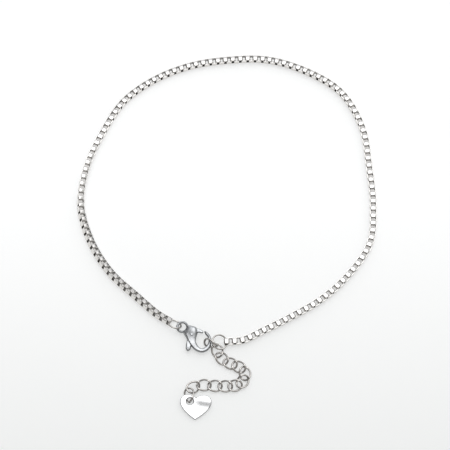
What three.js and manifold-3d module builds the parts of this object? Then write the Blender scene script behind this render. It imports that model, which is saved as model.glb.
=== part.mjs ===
// A chain anklet of polished steel, lying closed on a flat surface.
// Millimetres, +Z up, the surface at z = 0, the origin under the middle of the whole piece.
// +X runs to the right of the wearer's view and the extender hangs toward -Y.
import * as THREE from 'three';
import { mergeVertices } from 'three/addons/utils/BufferGeometryUtils.js';
import Module from 'manifold-3d';

const wasm = await Module();
wasm.setup();

// Box chain: square links of flat strip, each turned a quarter from the one before
const boxSide = 1.86;
const boxWall = 0.24;
const boxStrip = 1.32;
const boxPitch = 1.01;
const boxBite = 0.03;
const boxLength = boxPitch + 2 * boxWall - boxBite;
const halvesGap = 0.15;

// Middle line of the loop, from the extender's end round the back to the clasp's ring: x, y
const loopPath = [
  [-0.1, -31.75], [4.6, -31.25], [9.3, -29.0], [17.1, -25.0], [24.7, -20.4], [31.7, -13.9], [37.4, -5.4],
  [38.6, 5.2], [37.9, 15.9], [36.4, 27.2], [31.0, 37.5], [21.6, 43.8], [11.3, 47.1], [0.8, 47.0],
  [-9.2, 45.3], [-18.7, 41.3], [-26.9, 34.9], [-32.4, 25.7], [-36.3, 15.9], [-37.6, 5.2],
  [-34.7, -4.9], [-29.4, -13.4], [-22.6, -19.8], [-17.2, -24.5], [-13.5, -26.8],
];

// The chain lies on its flat side, leans a little between two shares of its length, then twists onto an edge
const lean = { from: 0.70, to: 0.78, degrees: 13 };
const twist = { from: 0.79, to: 0.855, degrees: 17 };

// Jump rings of round wire
const ringOuter = 3.75;
const endRingOuter = 4.2;
const ringWire = 0.45;
const ringSteps = 14;
const claspRingPlace = { x: -12.7, y: -27.2, z: 1.3, heading: -26, tilt: -43, pitch: 0 };
const endRingPlace = { x: -1.36, y: -31.9, z: 1.5, heading: 6, tilt: 0, pitch: -18 };

// Extender links: ovals of round wire, twisted so that they lie flat in a row
const linkLength = 4.0;
const linkWidth = 3.2;
const linkWire = 0.5;
const linkTwist = 0.33;
const linkSteps = 14;
const wireSides = 5;

// Lobster clasp, in its own axes: the eye's middle at the origin, +X toward the hook's end
const claspPlace = { x: -10.8, y: -27.9, z: 1.17, heading: -27 };
const claspThick = 2.3;
const claspEyeThick = 0.7;
const claspHookThick = 1.0;
const claspEdge = 0.28;
const curveSteps = 6;
const eyeOuterRadius = 1.6;
const eyeHoleRadius = 0.95;
const slotWidth = 0.9;
const gateThick = 0.66;
const gateEdge = 0.1;
const pivot = [3.1, -0.8];
const pinRadius = 0.32;
const pinLength = 1.84;
const pinSides = 8;
const gateHoleRadius = 0.45;

// The body's outline from the eye under the thumb tab, round the hook to its nose and back inside
const claspUnder = [[0.9, -1.26], [1.6, -1.75], [2.6, -2.5], [3.8, -3.3], [5.2, -3.9], [6.7, -4.0]];
const claspHook = [[7.9, -3.5], [8.65, -2.4], [8.75, -0.9], [8.1, 0.55], [7.1, 1.4], [6.0, 1.75], [5.35, 1.65]];
const claspInside = [[5.8, 1.1], [6.2, 0.85], [7.1, 0.5], [7.75, -0.5], [7.75, -1.8], [7.0, -2.85],
  [5.9, -2.7], [4.9, -1.9], [4.45, -0.7], [4.3, 0.3]];
const claspShoulder = [[3.75, 1.2], [3.1, 1.6], [2.2, 1.45], [1.3, 1.2]];

// The slot that the gate lies in, open above toward the nose and below toward the tab
const slotCorners = [[1.8, -1.1], [2.05, 0.9], [2.6, 2.5], [5.25, 2.5], [5.25, -1.6], [4.85, -2.4],
  [4.85, -6], [1.2, -6], [1.75, -2.4]];

// The gate's outline: its arm up to the nose, its tip, and the thumb tab on the other side of the pin
const gateArm = [[2.35, -0.4], [2.7, 0.7], [3.4, 1.4], [4.3, 1.6], [5.18, 1.52], [5.5, 1.0], [5.15, 0.72],
  [4.3, 0.65], [3.95, -0.2]];
const gateTab = [[4.0, -1.8], [4.3, -3.3], [4.6, -4.5], [4.0, -5.15], [3.2, -4.5], [2.75, -3.0], [2.3, -1.4]];

// Heart tag, its tip at the origin: it rests on its tip, its lobes raised by the link through its hole
const tagPlace = { x: -7.45, y: -51.6, z: 0.37, heading: -2.5, tilt: 8 };
const tagHalfWidth = 3.93;
const tagHeight = 6.2;
const tagCleft = 5.4;
const tagThick = 0.7;
const tagEdge = 0.12;
const tagHole = [-1.5, 4.5];
const tagHoleRadius = 0.85;
const tagCurveSteps = 4;

const steel = { color: 0xd9d8d6, roughness: 0.14, metalness: 1.0 };
const polishedSteel = () => new THREE.MeshStandardMaterial(steel);

// A closed three.js geometry as a solid that can be joined and cut
function toSolid(geometry) {
  geometry.deleteAttribute('normal');
  geometry.deleteAttribute('uv');
  const merged = mergeVertices(geometry, 1e-5);
  return new wasm.Manifold(new wasm.Mesh({
    numProp: 3,
    vertProperties: new Float32Array(merged.attributes.position.array),
    triVerts: new Uint32Array(merged.index.array),
  }));
}

function toGeometry(solid) {
  const mesh = solid.getMesh();
  const geometry = new THREE.BufferGeometry();
  geometry.setAttribute('position', new THREE.BufferAttribute(mesh.vertProperties, 3));
  geometry.setIndex(new THREE.BufferAttribute(mesh.triVerts, 1));
  geometry.computeVertexNormals();
  return geometry;
}

function namedMesh(name, geometry) {
  const mesh = new THREE.Mesh(geometry, polishedSteel());
  mesh.name = name;
  return mesh;
}

// One box link: a square frame in the plane of X and Y, its strip as wide as boxStrip along Z
function boxLink() {
  const x = boxLength / 2;
  const y = boxSide / 2;
  const frame = new THREE.Shape();
  frame.moveTo(-x, -y).lineTo(x, -y).lineTo(x, y).lineTo(-x, y);
  const hollow = new THREE.Path();
  const [hx, hy] = [x - boxWall, y - boxWall];
  hollow.moveTo(-hx, -hy).lineTo(hx, -hy).lineTo(hx, hy).lineTo(-hx, hy);
  frame.holes.push(hollow);
  const geometry = new THREE.ExtrudeGeometry(frame, { depth: boxStrip, bevelEnabled: false });
  return geometry.translate(0, 0, -boxStrip / 2);
}

function smoothStep(from, to, value) {
  const t = Math.min(Math.max((value - from) / (to - from), 0), 1);
  return t * t * (3 - 2 * t);
}

function rollBy({ from, to, degrees }, share) {
  return THREE.MathUtils.degToRad(degrees) * smoothStep(from, to, share);
}

// The chain's links in their places, along the loop's middle line
function boxChain() {
  const points = loopPath.map(([x, y]) => new THREE.Vector3(x, y, 0));
  const path = new THREE.CatmullRomCurve3(points, false, 'centripetal');
  path.arcLengthDivisions = 4000;
  const length = path.getLength();
  const count = Math.floor(length / boxPitch);
  const split = Math.floor(count / 2);
  const links = [];
  for (let i = 0; i < count; i++) {
    const closer = i < split ? 0 : boxBite + halvesGap;
    const share = (i * boxPitch + boxPitch / 2 - closer) / length;
    const along = path.getTangentAt(share);
    const outward = new THREE.Vector3(along.y, -along.x, 0);
    const up = new THREE.Vector3(0, 0, 1);
    const roll = rollBy(lean, share) + rollBy(twist, share);
    const turn = i % 2 === 0 ? roll : roll - Math.PI / 2;
    const across = up.clone().multiplyScalar(Math.cos(turn)).addScaledVector(outward, -Math.sin(turn));
    const hole = new THREE.Vector3().crossVectors(along, across);
    const place = new THREE.Matrix4().makeBasis(along, across, hole);
    const height = (boxSide / 2) * (Math.cos(roll) + Math.sin(roll));
    place.setPosition(path.getPointAt(share).setZ(height));
    links.push(boxLink().applyMatrix4(place));
  }
  return { right: links.slice(0, split), left: links.slice(split) };
}

function fused(geometries) {
  return toGeometry(wasm.Manifold.union(geometries.map(toSolid)));
}

// A closed loop of round wire round the Z axis, of any middle line given by its angle
function wireLoop(middle, wire, steps) {
  const geometry = new THREE.TorusGeometry(1, wire / 2, wireSides, steps);
  const position = geometry.attributes.position;
  const vertex = new THREE.Vector3();
  for (let i = 0; i < position.count; i++) {
    vertex.fromBufferAttribute(position, i);
    const angle = Math.atan2(vertex.y, vertex.x);
    const round = new THREE.Vector3(Math.cos(angle), Math.sin(angle), 0);
    vertex.sub(round).add(middle(angle));
    position.setXYZ(i, vertex.x, vertex.y, vertex.z);
  }
  return toGeometry(toSolid(geometry));
}

function jumpRing(outer) {
  const radius = (outer - ringWire) / 2;
  const middle = (angle) => new THREE.Vector3(Math.cos(angle), Math.sin(angle), 0).multiplyScalar(radius);
  return wireLoop(middle, ringWire, ringSteps);
}

function extenderLink() {
  const [a, b] = [(linkLength - linkWire) / 2, (linkWidth - linkWire) / 2];
  const middle = (angle) => new THREE.Vector3(
    a * Math.cos(angle), b * Math.sin(angle), linkTwist * Math.sin(2 * angle));
  return wireLoop(middle, linkWire, linkSteps);
}

// A shape through the given corners
function outline(points, holes = []) {
  const shape = new THREE.Shape(points.map(([x, y]) => new THREE.Vector2(x, y)));
  shape.holes = holes;
  return shape;
}

function roundHole([x, y], radius) {
  return new THREE.Path().absarc(x, y, radius, 0, 2 * Math.PI);
}

function plate(shape, thick, edge, segments) {
  const rise = Math.min(edge * 1.6, thick * 0.3);
  const geometry = new THREE.ExtrudeGeometry(shape, {
    depth: thick - 2 * rise, bevelThickness: rise, bevelSize: edge, bevelOffset: -edge,
    bevelSegments: 1, curveSegments: segments,
  });
  return geometry.translate(0, 0, rise - thick / 2);
}

// The body is thick round the gate's pin and thin at the eye and along the hook
function claspThickness(x) {
  const shoulder = claspEyeThick + (claspThick - claspEyeThick) * smoothStep(0.8, 2.3, x);
  return shoulder - (claspThick - claspHookThick) * smoothStep(4.3, 6.5, x);
}

function claspBody() {
  const eye = [];
  for (let degrees = 50; degrees <= 305; degrees += 30) {
    const angle = THREE.MathUtils.degToRad(degrees);
    eye.push([eyeOuterRadius * Math.cos(angle), eyeOuterRadius * Math.sin(angle)]);
  }
  const corners = [...eye, ...claspUnder, ...claspHook, ...claspInside, ...claspShoulder];
  const body = plate(outline(corners, [roundHole([0, 0], eyeHoleRadius)]), claspThick, claspEdge, curveSteps);
  const position = body.attributes.position;
  for (let i = 0; i < position.count; i++) {
    position.setZ(i, position.getZ(i) * claspThickness(position.getX(i)) / claspThick);
  }
  const slot = plate(outline(slotCorners), slotWidth, 0, 1);
  const pin = new THREE.CylinderGeometry(pinRadius, pinRadius, pinLength, pinSides);
  pin.rotateX(Math.PI / 2).translate(pivot[0], pivot[1], 0);
  return toGeometry(toSolid(body).subtract(toSolid(slot)).add(toSolid(pin)));
}

// The gate turns on the pin, so its group's origin is the pin's middle
function claspGate() {
  const shape = outline([...gateArm, ...gateTab], [roundHole(pivot, gateHoleRadius)]);
  return plate(shape, gateThick, gateEdge, curveSteps).translate(-pivot[0], -pivot[1], 0);
}

function heartTag() {
  const heart = new THREE.Shape();
  const [w, h] = [tagHalfWidth, tagHeight];
  heart.moveTo(0, 0);
  heart.bezierCurveTo(0.28 * w, 0.10 * h, w, 0.42 * h, w, 0.71 * h);
  heart.bezierCurveTo(w, 0.90 * h, 0.79 * w, h, 0.56 * w, h);
  heart.bezierCurveTo(0.31 * w, h, 0.10 * w, 0.96 * h, 0, tagCleft);
  heart.bezierCurveTo(-0.10 * w, 0.96 * h, -0.31 * w, h, -0.56 * w, h);
  heart.bezierCurveTo(-0.79 * w, h, -w, 0.90 * h, -w, 0.71 * h);
  heart.bezierCurveTo(-w, 0.42 * h, -0.28 * w, 0.10 * h, 0, 0);
  heart.holes.push(roundHole(tagHole, tagHoleRadius));
  return toGeometry(toSolid(plate(heart, tagThick, tagEdge, tagCurveSteps)));
}

// Turned by its heading about Z, after a tilt about its own long axis and a pitch of that axis, in degrees
function place(object, { x, y, z, heading, tilt = 0, pitch = 0 }) {
  const rad = THREE.MathUtils.degToRad;
  object.position.set(x, y, z);
  object.rotation.set(rad(tilt), rad(-pitch), rad(heading), 'ZYX');
  return object;
}

// Extender links, from the one that the clasp holds to the one in the tag
const extenderPlaces = [
  { x: -3.55, y: -32.3, z: 1.50, heading: -20, tilt: 68, pitch: 10 },
  { x: -1.95, y: -33.9, z: 0.66, heading: -77, tilt: 2, pitch: -2 },
  { x: -0.8, y: -35.9, z: 0.62, heading: -44, tilt: 0, pitch: 0 },
  { x: 1.3, y: -37.2, z: 0.64, heading: -21, tilt: 2, pitch: 0 },
  { x: 3.45, y: -38.1, z: 0.66, heading: -29, tilt: 5, pitch: 0 },
  { x: 5.0, y: -39.8, z: 0.66, heading: -77, tilt: 2, pitch: 0 },
  { x: 4.4, y: -41.9, z: 0.68, heading: -130, tilt: -6, pitch: 0 },
  { x: 2.5, y: -42.95, z: 0.73, heading: -168, tilt: -9, pitch: 0 },
  { x: 0.05, y: -43.1, z: 0.70, heading: -181, tilt: -6, pitch: -2 },
  { x: -2.55, y: -43.0, z: 0.65, heading: -182, tilt: -3, pitch: 0 },
  { x: -5.3, y: -42.8, z: 0.66, heading: -178, tilt: -4, pitch: 0 },
  { x: -7.9, y: -43.55, z: 1.25, heading: -153, tilt: -20, pitch: 17 },
  { x: -8.9, y: -45.5, z: 1.25, heading: -85, tilt: 39, pitch: 1 },
];

const anklet = new THREE.Group();
const chain = boxChain();
anklet.add(namedMesh('box_chain_right', fused(chain.right)));
anklet.add(namedMesh('box_chain_left', fused(chain.left)));
anklet.add(place(namedMesh('end_ring', jumpRing(endRingOuter)), endRingPlace));
anklet.add(place(namedMesh('clasp_ring', jumpRing(ringOuter)), claspRingPlace));
const clasp = place(new THREE.Group(), claspPlace);
clasp.add(namedMesh('clasp_body', claspBody()));
const gate = namedMesh('clasp_gate', claspGate());
gate.position.set(pivot[0], pivot[1], 0);
clasp.add(gate);
anklet.add(clasp);
extenderPlaces.forEach((spot, i) => {
  const name = 'extender_link_' + String(i + 1).padStart(2, '0');
  anklet.add(place(namedMesh(name, extenderLink()), spot));
});
anklet.add(place(namedMesh('heart_tag', heartTag()), tagPlace));

// Moved so that the origin is under the middle of the whole piece
const whole = new THREE.Box3().setFromObject(anklet, true);
const middle = whole.getCenter(new THREE.Vector3());
anklet.position.set(-middle.x, -middle.y, -whole.min.z);
const part = new THREE.Group();
part.add(anklet);

export default part;
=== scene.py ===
"""Looks for the chain anklet: polished steel box chain, clasp, extender and heart tag.

Shapes are worked out in millimetres in the anklet's own axes and then moved into the frame.
"""
import math

import bpy
import numpy as np
from mathutils import Matrix, Vector


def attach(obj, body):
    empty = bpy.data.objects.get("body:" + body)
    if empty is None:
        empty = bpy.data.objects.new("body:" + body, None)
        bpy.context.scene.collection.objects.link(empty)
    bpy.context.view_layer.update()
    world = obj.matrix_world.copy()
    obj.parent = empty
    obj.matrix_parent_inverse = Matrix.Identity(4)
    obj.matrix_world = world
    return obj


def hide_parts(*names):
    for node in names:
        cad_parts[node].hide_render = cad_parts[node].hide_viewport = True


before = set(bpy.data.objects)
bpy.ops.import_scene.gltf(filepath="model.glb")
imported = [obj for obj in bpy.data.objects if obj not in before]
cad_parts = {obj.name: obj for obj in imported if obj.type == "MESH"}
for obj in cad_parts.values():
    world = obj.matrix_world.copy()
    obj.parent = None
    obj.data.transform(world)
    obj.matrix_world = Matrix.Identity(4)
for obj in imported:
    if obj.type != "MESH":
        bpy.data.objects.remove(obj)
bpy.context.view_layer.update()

MM = 0.001
FRAME_SHIFT = np.array([-0.38929, 1.65562, 0.0])

# Box chain, as in the solids, with rounded corners and softened strip edges
BOX_SIDE = 1.86
BOX_WALL = 0.24
BOX_STRIP = 1.30
BOX_PITCH = 1.01
BOX_LENGTH = 1.46
BOX_CORNER = 0.27
BOX_EDGE = 0.06
BOX_CORNER_STEPS = 6
BOX_EDGE_STEPS = 2
# Painted shade on the links' inner faces: none this far in from the strip's middle, full this far, in
# millimetres
INNER_SHADE_DEPTH = (0.07, 0.12)
HALVES_CLOSER = 0.18
LOOK_AHEAD = 0.3
ROLL_PLAY = 0.012
# Each roll of the chain: from and to which share of its length, and by what angle
LEAN = (0.70, 0.78, math.radians(13))
TWIST = (0.79, 0.855, math.radians(17))
LOOP_PATH = [
    (-0.1, -31.75), (4.6, -31.25), (9.3, -29.0), (17.1, -25.0), (24.7, -20.4), (31.7, -13.9), (37.4, -5.4),
    (38.6, 5.2), (37.9, 15.9), (36.4, 27.2), (31.0, 37.5), (21.6, 43.8), (11.3, 47.1), (0.8, 47.0),
    (-9.2, 45.3), (-18.7, 41.3), (-26.9, 34.9), (-32.4, 25.7), (-36.3, 15.9), (-37.6, 5.2),
    (-34.7, -4.9), (-29.4, -13.4), (-22.6, -19.8), (-17.2, -24.5), (-13.5, -26.8),
]

# Rings and extender links of round wire: place, then heading, tilt and pitch in degrees
WIRE_SIDES = 14
RING_WIRE = 0.45
RING_STEPS = 72
CLASP_RING = {"outer": 3.75, "at": (-12.7, -27.2, 1.3), "turn": (-26, -43, 0), "seam": 100}
END_RING = {"outer": 4.2, "at": (-1.36, -31.9, 1.5), "turn": (6, 0, -18), "seam": -60}
SEAM = 0.03
LINK_LENGTH = 4.0
LINK_WIDTH = 3.2
LINK_WIRE = 0.5
LINK_TWIST = 0.33
LINK_STEPS = 56
EXTENDER = [
    ((-3.55, -32.3, 1.50), (-20, 68, 10)),
    ((-1.95, -33.9, 0.66), (-77, 2, -2)),
    ((-0.8, -35.9, 0.62), (-44, 0, 0)),
    ((1.3, -37.2, 0.64), (-21, 2, 0)),
    ((3.45, -38.1, 0.66), (-29, 5, 0)),
    ((5.0, -39.8, 0.66), (-77, 2, 0)),
    ((4.4, -41.9, 0.68), (-130, -6, 0)),
    ((2.5, -42.95, 0.73), (-168, -9, 0)),
    ((0.05, -43.1, 0.70), (-181, -6, -2)),
    ((-2.55, -43.0, 0.65), (-182, -3, 0)),
    ((-5.3, -42.8, 0.66), (-178, -4, 0)),
    ((-7.9, -43.55, 1.25), (-153, -20, 17)),
    ((-8.9, -45.5, 1.25), (-85, 39, 1)),
]

# Lobster clasp, in its own axes: the eye's middle at the origin, +X toward the hook's end
CLASP_AT = (-10.8, -27.9, 1.17)
CLASP_TURN = (-27, 0, 0)
CLASP_THICK = 2.3
EYE_THICK = 0.7
CHEEK_THICK = 1.35
HOOK_THICK = 1.0
EYE_OUTER = 1.6
EYE_HOLE = 0.95
EYE_TO_CHEEK = (0.4, 2.0)
CHEEK_TO_HOOK = (4.2, 6.4)
BODY_EDGE = 0.42
SWELLING_AT = (3.0, 0.6)
SWELLING_REACH = (1.9, 1.9)
SWELLING_EDGE = 0.35
SWELLING_EDGE_LOWER = 0.5
PIVOT = (3.1, -0.8)
PIN_RADIUS = 0.32
PIN_HALF = 0.99
PIN_SOFT = 0.01
SLOT_WIDTH = 0.9
SLOT_SOFT = 0.07
BODY_CELL = 0.055
GATE_HOLE = 0.45
GATE_THICK = 0.66
GATE_EDGE = 0.24
TAB_THICKER = 0.16
TAB_THICKER_BELOW = (3.9, 4.7)
TAB_ROUNDER = 0.3
TAB_ROUNDER_BELOW = (3.0, 4.4)
GATE_CELL = 0.045
UNDER = [(0.9, -1.26), (1.6, -1.75), (2.6, -2.5), (3.8, -3.3), (5.2, -3.9), (6.7, -4.0)]
HOOK = [(7.9, -3.5), (8.65, -2.4), (8.75, -0.9), (8.1, 0.55), (7.1, 1.4), (6.0, 1.75), (5.35, 1.65)]
INSIDE = [(5.8, 1.1), (6.2, 0.85), (7.1, 0.5), (7.75, -0.5), (7.75, -1.8), (7.0, -2.85),
          (5.9, -2.7), (4.9, -1.9), (4.45, -0.7), (4.3, 0.3)]
SHOULDER = [(3.75, 1.2), (3.1, 1.6), (2.2, 1.45), (1.3, 1.2)]
SLOT = [(1.8, -1.1), (2.05, 0.9), (2.6, 2.5), (5.25, 2.5), (5.25, -1.6), (4.85, -2.4),
        (4.85, -6), (1.2, -6), (1.75, -2.4)]
GATE = [(2.35, -0.4), (2.7, 0.7), (3.4, 1.4), (4.3, 1.6), (5.18, 1.52), (5.5, 1.0), (5.15, 0.72),
        (4.3, 0.65), (3.95, -0.2), (4.0, -1.8), (4.3, -3.3), (4.6, -4.5), (4.0, -5.15), (3.2, -4.5),
        (2.75, -3.0), (2.3, -1.4)]

# Heart tag, its tip at the origin
TAG_AT = (-7.45, -51.6, 0.37)
TAG_TURN = (-2.5, 8, 0)
TAG_HALF_WIDTH = 3.93
TAG_HEIGHT = 6.2
TAG_CLEFT = 5.4
TAG_THICK = 0.7
TAG_EDGE = 0.22
TAG_BEND = 0.10
TAG_BEND_UP = (3.0, 5.5)
TAG_BEND_RIGHT = (-2.5, 1.5)
TAG_BEND_SLANT = 0.1
TAG_HOLE = (-1.5, 4.5)
TAG_HOLE_RADIUS = 0.85
TAG_CELL = 0.05


def place(at, turn):
    """The matrix of a piece in the anklet's axes: tilt about its long axis, then pitch, then heading."""
    heading, tilt, pitch = (math.radians(a) for a in turn)
    spin = Matrix.Rotation(heading, 4, "Z") @ Matrix.Rotation(-pitch, 4, "Y") @ Matrix.Rotation(tilt, 4, "X")
    return np.array(Matrix.Translation(at) @ spin)


def moved(points, matrix):
    return points @ matrix[:3, :3].T + matrix[:3, 3]


def make(name, points, faces, body, nodes, material, sharp_degrees=None, inside=None):
    """A piece of the scene from points in millimetres, in place of the solids named.

    The values of inside, one a point, are 1 on the faces that look into a link, where the steel paints shade.
    """
    mesh = bpy.data.meshes.new(name)
    vertices = (np.asarray(points) + FRAME_SHIFT) * MM
    mesh.from_pydata(vertices.tolist(), [], faces if isinstance(faces, list) else faces.tolist())
    mesh.shade_smooth()
    mesh.update()
    if inside is not None:
        mesh.attributes.new("inside", "FLOAT", "POINT").data.foreach_set("value", inside)
    if sharp_degrees:
        mesh.set_sharp_from_angle(angle=math.radians(sharp_degrees))
    piece = bpy.data.objects.new(name, mesh)
    bpy.context.scene.collection.objects.link(piece)
    mesh.materials.append(material)
    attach(piece, body)
    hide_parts(*nodes)


# Box chain

def loop_curve(steps=160):
    """Dense points of the loop's middle line, a centripetal Catmull-Rom curve through LOOP_PATH."""
    p = np.array(LOOP_PATH)
    p = np.vstack([2 * p[0] - p[1], p, 2 * p[-1] - p[-2]])
    t = np.linspace(0, 1, steps, endpoint=False)[:, None]
    parts = []
    for a, b, c, d in zip(p[:-3], p[1:-2], p[2:-1], p[3:]):
        ab, bc, cd = (math.sqrt(np.linalg.norm(v)) for v in (b - a, c - b, d - c))
        start = ((b - a) / ab - (c - a) / (ab + bc) + (c - b) / bc) * bc
        end = ((c - b) / bc - (d - b) / (bc + cd) + (d - c) / cd) * bc
        square, cube = 3 * (c - b) - 2 * start - end, 2 * (b - c) + start + end
        parts.append(b + start * t + square * t**2 + cube * t**3)
    return np.vstack(parts + [p[-2:-1]])


def rounded_box(half_x, half_y, radius, corner_steps):
    """Points and outward normals round a rectangle with rounded corners."""
    points, normals = [], []
    for quarter, (sx, sy) in enumerate([(1, 1), (-1, 1), (-1, -1), (1, -1)]):
        for k in range(corner_steps + 1):
            angle = math.radians(90) * (quarter + k / corner_steps)
            normal = np.array([math.cos(angle), math.sin(angle)])
            points.append(np.array([sx * (half_x - radius), sy * (half_y - radius)]) + radius * normal)
            normals.append(normal)
    return np.array(points), np.array(normals)


def ring_faces(around, section):
    """Quads of a closed tube: around rows of section points each."""
    row, col = np.meshgrid(np.arange(around), np.arange(section), indexing="ij")
    next_row, next_col = (row + 1) % around, (col + 1) % section
    corners = [
        row * section + col, next_row * section + col,
        next_row * section + next_col, row * section + next_col,
    ]
    return np.stack(corners, -1).reshape(-1, 4)


def box_link():
    """A square link of flat strip: X along the chain, Y across it, Z the strip's width."""
    half_x, half_y = (BOX_LENGTH - BOX_WALL) / 2, (BOX_SIDE - BOX_WALL) / 2
    middle, outward = rounded_box(half_x, half_y, BOX_CORNER, BOX_CORNER_STEPS)
    section, _ = rounded_box(BOX_WALL / 2, BOX_STRIP / 2, BOX_EDGE, BOX_EDGE_STEPS)
    flat = middle[:, None, :] + outward[:, None, :] * section[None, :, :1]
    depth = np.broadcast_to(section[None, :, 1:], (len(middle), len(section), 1))
    points = np.concatenate([flat, depth], -1).reshape(-1, 3)
    # Where the painted shade falls: 1 on the strip's inner face, 0 on its outer face and edges
    inside = np.tile(smooth_step(*INNER_SHADE_DEPTH, -section[:, 0]), len(middle))
    return points, ring_faces(len(middle), len(section)), inside


def smooth_step(low, high, value):
    t = np.clip((value - low) / (high - low), 0, 1)
    return t * t * (3 - 2 * t)


def box_chain():
    """Every link in its place, each turned a quarter from the one before: two lists, right and left."""
    curve = loop_curve()
    reach = np.concatenate([[0], np.cumsum(np.linalg.norm(np.diff(curve, axis=0), axis=1))])
    length = reach[-1]
    count = int(length / BOX_PITCH)
    half = count // 2
    points, faces, inside = box_link()
    rng = np.random.default_rng(5)
    chains = ([], [])
    for i in range(count):
        at = i * BOX_PITCH + BOX_PITCH / 2 - (0 if i < half else HALVES_CLOSER)
        x, y = (np.interp(at, reach, curve[:, k]) for k in (0, 1))
        ahead, behind = (
            [np.interp(at + s, reach, curve[:, k]) for k in (0, 1)] for s in (LOOK_AHEAD, -LOOK_AHEAD)
        )
        along = np.append(np.subtract(ahead, behind), 0)
        along /= np.linalg.norm(along)
        outward = np.array([along[1], -along[0], 0])
        roll = sum(angle * smooth_step(start, end, at / length) for start, end, angle in (LEAN, TWIST))
        height = BOX_SIDE / 2 * (math.cos(roll) + math.sin(roll))
        turn = roll - (i % 2) * math.pi / 2 + rng.normal(0, ROLL_PLAY)
        across = math.cos(turn) * np.array([0, 0, 1.0]) - math.sin(turn) * outward
        basis = np.stack([along, across, np.cross(along, across)])
        chains[0 if i < half else 1].append(points @ basis + np.array([x, y, height]))
    return chains, faces, inside


def join(parts, faces):
    """Many copies of one mesh as one."""
    step = len(parts[0])
    return np.vstack(parts), np.vstack([faces + step * i for i in range(len(parts))])


# Wire

def wire(middle, radius, sides=WIRE_SIDES, closed=True):
    """A round wire along a line of points that lies more or less flat."""
    if closed:
        along = np.roll(middle, -1, 0) - np.roll(middle, 1, 0)
    else:
        along = np.gradient(middle, axis=0)
    along /= np.linalg.norm(along, axis=1)[:, None]
    side = np.cross(along, [0, 0, 1.0])
    side /= np.linalg.norm(side, axis=1)[:, None]
    up = np.cross(side, along)
    angle = np.linspace(0, 2 * math.pi, sides, endpoint=False)[None, :, None]
    points = middle[:, None] + radius * (np.cos(angle) * side[:, None] + np.sin(angle) * up[:, None])
    faces = ring_faces(len(middle), sides).tolist()
    if not closed:
        faces = [f for f in faces if max(f) - min(f) < 2 * sides]
        last = (len(middle) - 1) * sides
        faces += [list(range(sides))[::-1], [last + k for k in range(sides)]]
    return points.reshape(-1, 3), faces


def jump_ring(outer, seam):
    """A jump ring bent from wire, its two ends almost touching at the seam."""
    radius = (outer - RING_WIRE) / 2
    half = SEAM / radius / 2
    angle = math.radians(seam) + np.linspace(half, 2 * math.pi - half, RING_STEPS)
    middle = np.stack([radius * np.cos(angle), radius * np.sin(angle), 0 * angle], -1)
    return wire(middle, RING_WIRE / 2, closed=False)


def extender_link():
    """An oval link of wire, twisted so that its neighbours lie flat too."""
    angle = np.linspace(0, 2 * math.pi, LINK_STEPS, endpoint=False)
    a, b = (LINK_LENGTH - LINK_WIRE) / 2, (LINK_WIDTH - LINK_WIRE) / 2
    middle = np.stack([a * np.cos(angle), b * np.sin(angle), LINK_TWIST * np.sin(2 * angle)], -1)
    return wire(middle, LINK_WIRE / 2)


# Cast and cut pieces, as the surface where a field of points is zero

def surface(field, low, high, step):
    """Points and quads of the surface round the space where the field is below zero."""
    axes = [np.arange(a, b + step, step) for a, b in zip(low, high)]
    value = field(*np.meshgrid(*axes, indexing="ij"))
    inside = value < 0
    total = np.zeros((*value.shape, 3))
    count = np.zeros(value.shape)
    quads = []
    for axis in range(3):
        unit, right, up = np.roll(np.eye(3, dtype=int), -axis, 0)
        last = value.shape[axis] - 1
        change = np.argwhere(np.take(inside, range(last), axis) != np.take(inside, range(1, last + 1), axis))
        start, end = value[tuple(change.T)], value[tuple((change + unit).T)]
        crossing = change + unit * (start / (start - end))[:, None]
        cells = [change, change - right, change - right - up, change - up]
        for cell in cells:
            np.add.at(total, tuple(cell.T), crossing)
            np.add.at(count, tuple(cell.T), 1)
        flat = np.stack([np.ravel_multi_index(tuple(cell.T), value.shape) for cell in cells], -1)
        quads.append(np.where((start < 0)[:, None], flat, flat[:, ::-1]))
    used = count.ravel() > 0
    number = np.cumsum(used) - 1
    points = np.array(low) + step * total.reshape(-1, 3)[used] / count.ravel()[used, None]
    return points, number[np.vstack(quads)]


def cut_corners(corners, times=2):
    """A softer outline: each corner is cut, twice over."""
    p = np.array(corners, float)
    for _ in range(times):
        ahead = np.roll(p, -1, 0)
        p = np.stack([0.75 * p + 0.25 * ahead, 0.25 * p + 0.75 * ahead], 1).reshape(-1, 2)
    return p


def circle(centre, radius, steps=40):
    angle = np.linspace(0, 2 * math.pi, steps, endpoint=False)
    return np.stack([centre[0] + radius * np.cos(angle), centre[1] + radius * np.sin(angle)], -1)


def depth_inside(x, y, outlines):
    """How far each point is inside the outlines, negative outside them. A hole is one more outline."""
    near = np.full(x.shape, 1e9)
    odd = np.zeros(x.shape, bool)
    for outline in outlines:
        for (ax, ay), (bx, by) in zip(outline, np.roll(outline, -1, 0)):
            dx, dy = bx - ax, by - ay
            t = np.clip(((x - ax) * dx + (y - ay) * dy) / (dx * dx + dy * dy), 0, 1)
            near = np.minimum(near, (x - ax - t * dx) ** 2 + (y - ay - t * dy) ** 2)
            crosses = (ay > y) != (by > y)
            odd ^= crosses & (x < ax + (y - ay) * dx / (dy if dy else 1e-12))
    return np.where(odd, 1, -1) * np.sqrt(near)


def on_plan(x, y, outlines):
    """depth_inside worked out once for each column of a grid."""
    return depth_inside(x[:, :, 0], y[:, :, 0], outlines)[:, :, None]


def pillow(depth, z, half, edge):
    """A body of half thickness half, with sides rounded over the width edge."""
    return half * (np.hypot(z / half, np.maximum(edge - depth, 0) / edge) - 1)


def soft_max(a, b, soft):
    """The larger of two fields, rounded where they meet."""
    blend = np.clip(0.5 + (a - b) / (2 * soft), 0, 1)
    return b + (a - b) * blend + soft * blend * (1 - blend)


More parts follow.
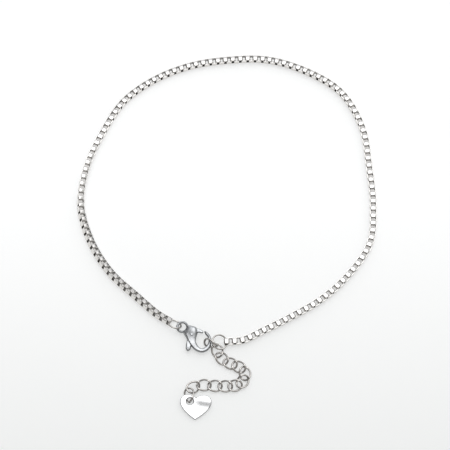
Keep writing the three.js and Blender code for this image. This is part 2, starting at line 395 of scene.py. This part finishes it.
def clasp_half(x, y):
    """Half the body's thickness: a swelling beside the gate's pin, thin at the eye and along the hook."""
    cheeks = EYE_THICK + (CHEEK_THICK - EYE_THICK) * smooth_step(*EYE_TO_CHEEK, x)
    plain = cheeks - (CHEEK_THICK - HOOK_THICK) * smooth_step(*CHEEK_TO_HOOK, x)
    return (plain + (CLASP_THICK - CHEEK_THICK) * swelling(x, y)) / 2


def swelling(x, y):
    """How much of the swelling each point has: 1 in its middle, falling to 0 round it."""
    (middle_x, middle_y), (reach_x, reach_y) = SWELLING_AT, SWELLING_REACH
    return np.exp(-((x - middle_x) / reach_x) ** 2 - ((y - middle_y) / reach_y) ** 2)


def clasp_body_field(x, y, z):
    eye = [(EYE_OUTER * math.cos(a), EYE_OUTER * math.sin(a)) for a in map(math.radians, range(50, 306, 15))]
    body = cut_corners(eye + UNDER + HOOK + INSIDE + SHOULDER)
    edge = BODY_EDGE + SWELLING_EDGE * swelling(x, y + SWELLING_EDGE_LOWER)
    solid = pillow(on_plan(x, y, [body, circle((0, 0), EYE_HOLE)]), z, clasp_half(x, y), edge)
    slot = np.minimum(on_plan(x, y, [np.array(SLOT)]), SLOT_WIDTH / 2 - np.abs(z))
    pin = np.maximum(np.hypot(x - PIVOT[0], y - PIVOT[1]) - PIN_RADIUS, np.abs(z) - PIN_HALF)
    return np.minimum(soft_max(solid, slot, SLOT_SOFT), -soft_max(-pin, -PIN_RADIUS + 0 * pin, PIN_SOFT))


def clasp_gate_field(x, y, z):
    depth = on_plan(x, y, [cut_corners(GATE), circle(PIVOT, GATE_HOLE)])
    half = GATE_THICK / 2 + TAB_THICKER * smooth_step(*TAB_THICKER_BELOW, -y)
    return pillow(depth, z, half, GATE_EDGE + TAB_ROUNDER * smooth_step(*TAB_ROUNDER_BELOW, -y))


def heart_outline(steps=20):
    w, h = TAG_HALF_WIDTH, TAG_HEIGHT
    right = [
        [(0, 0), (0.28 * w, 0.10 * h), (w, 0.42 * h), (w, 0.71 * h)],
        [(w, 0.71 * h), (w, 0.90 * h), (0.79 * w, h), (0.56 * w, h)],
        [(0.56 * w, h), (0.31 * w, h), (0.10 * w, 0.96 * h), (0, TAG_CLEFT)],
    ]
    t = np.linspace(0, 1, steps, endpoint=False)[:, None]
    side = np.vstack([
        (1 - t) ** 3 * a + 3 * t * (1 - t) ** 2 * b + 3 * t**2 * (1 - t) * c + t**3 * d
        for a, b, c, d in (map(np.array, curve) for curve in right)
    ])
    other = np.vstack([[[0, TAG_CLEFT]], side[:0:-1] * (-1, 1)])
    return np.vstack([side, other])


def heart_field(x, y, z):
    depth = on_plan(x, y, [heart_outline(), circle(TAG_HOLE, TAG_HOLE_RADIUS)])
    upper = smooth_step(*TAG_BEND_UP, y + TAG_BEND_SLANT * x)
    bend = TAG_BEND * upper * smooth_step(*TAG_BEND_RIGHT, x)
    return pillow(depth, z - bend, TAG_THICK / 2, TAG_EDGE)


# Materials

def node(tree, kind, **inputs):
    made = tree.nodes.new(kind)
    for key, value in inputs.items():
        made.inputs[key.replace("_", " ")].default_value = value
    return made


def ramp(tree, factor, stops):
    made = tree.nodes.new("ShaderNodeValToRGB")
    while len(made.color_ramp.elements) < len(stops):
        made.color_ramp.elements.new(0.5)
    for element, (position, color) in zip(made.color_ramp.elements, stops):
        element.position = position
        element.color = (*color, 1)
    tree.links.new(factor, made.inputs["Fac"])
    return made.outputs["Color"]


def steel(name, dark, light, rough, grain, bump, flank=1.0, inner=0.0):
    """Polished steel: cloudy tone, roughness that varies and fine polishing marks.

    Painted shade: faces that stand upright keep the share flank of the tone, and inner faces lose the share
    inner of it.
    """
    material = bpy.data.materials.new(name)
    material.use_nodes = True
    tree = material.node_tree
    shader = tree.nodes["Principled BSDF"]
    shader.inputs["Metallic"].default_value = 1.0
    place_in = tree.nodes.new("ShaderNodeTexCoord").outputs["Object"]
    cloud = node(tree, "ShaderNodeTexNoise", Scale=900.0, Detail=3.0)
    fine = node(tree, "ShaderNodeTexNoise", Scale=grain, Detail=4.0, Roughness=0.6)
    for noise in (cloud, fine):
        tree.links.new(place_in, noise.inputs["Vector"])
    # Painted shade: by the height of the normal, faces that stand upright keep only the share flank of the
    # tone
    upright = tree.nodes.new("ShaderNodeSeparateXYZ")
    tree.links.new(tree.nodes.new("ShaderNodeTexCoord").outputs["Normal"], upright.inputs["Vector"])
    upright_shade = node(tree, "ShaderNodeMapRange", From_Min=0.25, From_Max=0.8, To_Min=flank, To_Max=1.0)
    tree.links.new(upright.outputs["Z"], upright_shade.inputs["Value"])
    tone = tree.nodes.new("ShaderNodeVectorMath")
    tone.operation = "SCALE"
    tree.links.new(ramp(tree, cloud.outputs["Fac"], [(0.3, dark), (0.65, light)]), tone.inputs["Vector"])
    # Painted shade: faces whose inside value is 1 lose the share inner of the tone
    inner_shade_mask = tree.nodes.new("ShaderNodeAttribute")
    inner_shade_mask.attribute_name = "inside"
    inner_shade = node(tree, "ShaderNodeMapRange", To_Min=1.0, To_Max=1.0 - inner)
    tree.links.new(inner_shade_mask.outputs["Fac"], inner_shade.inputs["Value"])
    shade = tree.nodes.new("ShaderNodeMath")
    shade.operation = "MULTIPLY"
    tree.links.new(upright_shade.outputs["Result"], shade.inputs[0])
    tree.links.new(inner_shade.outputs["Result"], shade.inputs[1])
    tree.links.new(shade.outputs["Value"], tone.inputs["Scale"])
    tree.links.new(tone.outputs["Vector"], shader.inputs["Base Color"])
    spread = node(tree, "ShaderNodeMapRange", From_Min=0.3, From_Max=0.7, To_Min=rough[0], To_Max=rough[1])
    tree.links.new(fine.outputs["Fac"], spread.inputs["Value"])
    tree.links.new(spread.outputs["Result"], shader.inputs["Roughness"])
    relief = node(tree, "ShaderNodeBump", Strength=bump, Distance=0.00002)
    tree.links.new(fine.outputs["Fac"], relief.inputs["Height"])
    tree.links.new(relief.outputs["Normal"], shader.inputs["Normal"])
    return material


# The chain's steel paints shade on the links' inner faces
chain_steel = steel(
    "chain_steel", dark=(0.685, 0.665, 0.645), light=(0.765, 0.75, 0.73),
    rough=(0.04, 0.10), grain=5200.0, bump=0.02, inner=0.62,
)
# The wires, clasp and tag get painted shade on their upright faces
wire_steel = steel(
    "wire_steel", dark=(0.63, 0.60, 0.575), light=(0.84, 0.815, 0.785),
    rough=(0.06, 0.13), grain=4200.0, bump=0.04, flank=0.36,
)
clasp_steel = steel(
    "clasp_steel", dark=(0.44, 0.45, 0.462), light=(0.55, 0.56, 0.572),
    rough=(0.26, 0.36), grain=2600.0, bump=0.05, flank=0.5,
)
tag_steel = steel(
    "tag_steel", dark=(0.90, 0.905, 0.92), light=(0.96, 0.965, 0.975),
    rough=(0.05, 0.13), grain=3000.0, bump=0.08, flank=0.3,
)

# The pieces
(right_links, left_links), link_faces, link_inner_shade = box_chain()
for side, links in (("right", right_links), ("left", left_links)):
    make("box_links_" + side, *join(links, link_faces), "anklet", ["box_chain_" + side], chain_steel,
         inside=np.tile(link_inner_shade, len(links)))

for name, ring in (("clasp_ring", CLASP_RING), ("end_ring", END_RING)):
    points, faces = jump_ring(ring["outer"], ring["seam"])
    points = moved(points, place(ring["at"], ring["turn"]))
    make(name + "_wire", points, faces, "anklet", [name], wire_steel, sharp_degrees=50)

link_points, link_quads = extender_link()
for number, (at, turn) in enumerate(EXTENDER, 1):
    points = moved(link_points, place(at, turn))
    make(f"oval_link_{number:02d}", points, link_quads, "anklet", [f"extender_link_{number:02d}"], wire_steel)

clasp_place = place(CLASP_AT, CLASP_TURN)
points, faces = surface(clasp_body_field, (-1.8, -4.4, -1.4), (9.2, 2.2, 1.4), BODY_CELL)
make("clasp_cast_body", moved(points, clasp_place), faces, "anklet", ["clasp_body"], clasp_steel)
points, faces = surface(clasp_gate_field, (2.0, -5.5, -0.7), (5.9, 2.0, 0.7), GATE_CELL)
make("clasp_lever", moved(points, clasp_place), faces, "gate", ["clasp_gate"], clasp_steel)

points, faces = surface(heart_field, (-4.2, -0.3, -0.5), (4.2, 6.6, 0.5), TAG_CELL)
make("heart_plate", moved(points, place(TAG_AT, TAG_TURN)), faces, "anklet", ["heart_tag"], tag_steel)

# Floor, light and camera, in metres
FLOOR_HALF = 0.9
FLOOR_DROP = 0.00003
# Painted shade: the floor is darkest at the first Y value and lightest at the second, dimmer toward the front
FLOOR_FRONT_SHADE = (-0.06, 0.012)
CAMERA_TARGET = Vector((-0.39, 1.655, 0.0)) * MM
CAMERA_ELEVATION = math.radians(70)
CAMERA_DISTANCE = 0.39
CAMERA_LENS = 120
CAMERA_SENSOR = 36

floor_mesh = bpy.data.meshes.new("floor")
floor_corners = [(x * FLOOR_HALF, y * FLOOR_HALF, 0) for x, y in ((-1, -1), (1, -1), (1, 1), (-1, 1))]
floor_mesh.from_pydata(floor_corners, [], [(0, 1, 2, 3)])
floor = bpy.data.objects.new("floor", floor_mesh)
floor.location.z = -FLOOR_DROP
bpy.context.scene.collection.objects.link(floor)
paper = bpy.data.materials.new("pale_floor")
paper.use_nodes = True
tree = paper.node_tree
shader = tree.nodes["Principled BSDF"]
shader.inputs["Roughness"].default_value = 0.7
shader.inputs["Specular IOR Level"].default_value = 0.2
grain = node(tree, "ShaderNodeTexNoise", Scale=400.0, Detail=2.0)
place_in = tree.nodes.new("ShaderNodeTexCoord").outputs["Object"]
across = tree.nodes.new("ShaderNodeSeparateXYZ")
for socket in (grain.inputs["Vector"], across.inputs["Vector"]):
    tree.links.new(place_in, socket)
front_shade = node(tree, "ShaderNodeMapRange", From_Min=FLOOR_FRONT_SHADE[0], From_Max=FLOOR_FRONT_SHADE[1])
tree.links.new(across.outputs["Y"], front_shade.inputs["Value"])
speck = node(tree, "ShaderNodeMapRange", To_Min=-0.04, To_Max=0.04)
tree.links.new(grain.outputs["Fac"], speck.inputs["Value"])
both = tree.nodes.new("ShaderNodeMath")
tree.links.new(front_shade.outputs["Result"], both.inputs[0])
tree.links.new(speck.outputs["Result"], both.inputs[1])
# Painted light: the paper glows a little, so that its shadows stay faint; painted shade makes its tone and
# glow dimmer toward the front
paper_tone_and_shade = ramp(tree, both.outputs["Value"], [(0.0, (0.52, 0.526, 0.523)), (1.0, (0.62, 0.624, 0.624))])
paper_glow = ramp(tree, both.outputs["Value"], [(0.0, (0.80, 0.81, 0.805)), (1.0, (0.96, 0.965, 0.965))])
tree.links.new(paper_tone_and_shade, shader.inputs["Base Color"])
tree.links.new(paper_glow, shader.inputs["Emission Color"])
shader.inputs["Emission Strength"].default_value = 0.62
floor_mesh.materials.append(paper)

world = bpy.data.worlds.new("studio")
bpy.context.scene.world = world
world.use_nodes = True
tree = world.node_tree
direction = tree.nodes.new("ShaderNodeTexCoord").outputs["Generated"]


def glow(toward, stops):
    """Light from round one direction, by how much of the way each direction turns toward it."""
    dot = tree.nodes.new("ShaderNodeVectorMath")
    dot.operation = "DOT_PRODUCT"
    dot.inputs[1].default_value = toward
    tree.links.new(direction, dot.inputs[0])
    share = node(tree, "ShaderNodeMapRange", From_Min=-1.0, From_Max=1.0)
    tree.links.new(dot.outputs["Value"], share.inputs["Value"])
    return ramp(tree, share.outputs["Result"], stops)


# A white roof just behind the lens, a pale wall behind the anklet and a window; the rest of the room is dim
roof = glow((0.0, 0.20, 0.98), [(0.962, (0.0, 0.0, 0.0)), (0.981, (1.0, 1.0, 1.0))])
wall = glow((0.0, 0.80, 0.60), [
    (0.25, (0.12, 0.117, 0.113)), (0.60, (0.14, 0.138, 0.135)), (0.80, (0.05, 0.05, 0.05)),
    (0.88, (0.20, 0.203, 0.21)), (0.915, (0.50, 0.505, 0.515)),
])
window = glow((0.70, 0.20, 0.685), [(0.90, (0.0, 0.0, 0.0)), (0.95, (0.28, 0.28, 0.275))])
sky = roof
for light in (wall, window):
    both = tree.nodes.new("ShaderNodeVectorMath")
    tree.links.new(sky, both.inputs[0])
    tree.links.new(light, both.inputs[1])
    sky = both.outputs["Vector"]
background = tree.nodes["Background"]
tree.links.new(sky, background.inputs["Color"])
background.inputs["Strength"].default_value = 1.8


def softbox(name, at, size, power):
    """A square area light aimed at the middle, which the metal doesn't mirror."""
    data = bpy.data.lights.new(name, "AREA")
    data.shape = "SQUARE"
    data.size = size
    data.energy = power
    lamp = bpy.data.objects.new(name, data)
    lamp.location = at
    lamp.rotation_euler = (-Vector(at)).to_track_quat("-Z", "Y").to_euler()
    lamp.visible_glossy = False
    bpy.context.scene.collection.objects.link(lamp)


# The lamps light the paper; the metal mirrors the paper and the room
softbox("top_light", (0.0, 0.20, 0.42), 0.9, 0.08)
softbox("side_light", (-0.4, -0.1, 0.35), 0.6, 0.04)

camera_data = bpy.data.cameras.new("camera")
camera_data.sensor_width = CAMERA_SENSOR
camera_data.lens = CAMERA_LENS
camera_data.clip_start = 0.01
camera = bpy.data.objects.new("camera", camera_data)
back = Vector((0, -math.cos(CAMERA_ELEVATION), math.sin(CAMERA_ELEVATION)))
camera.location = CAMERA_TARGET + back * CAMERA_DISTANCE
camera.rotation_euler = (math.pi / 2 - CAMERA_ELEVATION, 0, 0)
bpy.context.scene.collection.objects.link(camera)
bpy.context.scene.camera = camera
bpy.context.scene.view_settings.view_transform = "Standard"

bpy.context.view_layer.update()
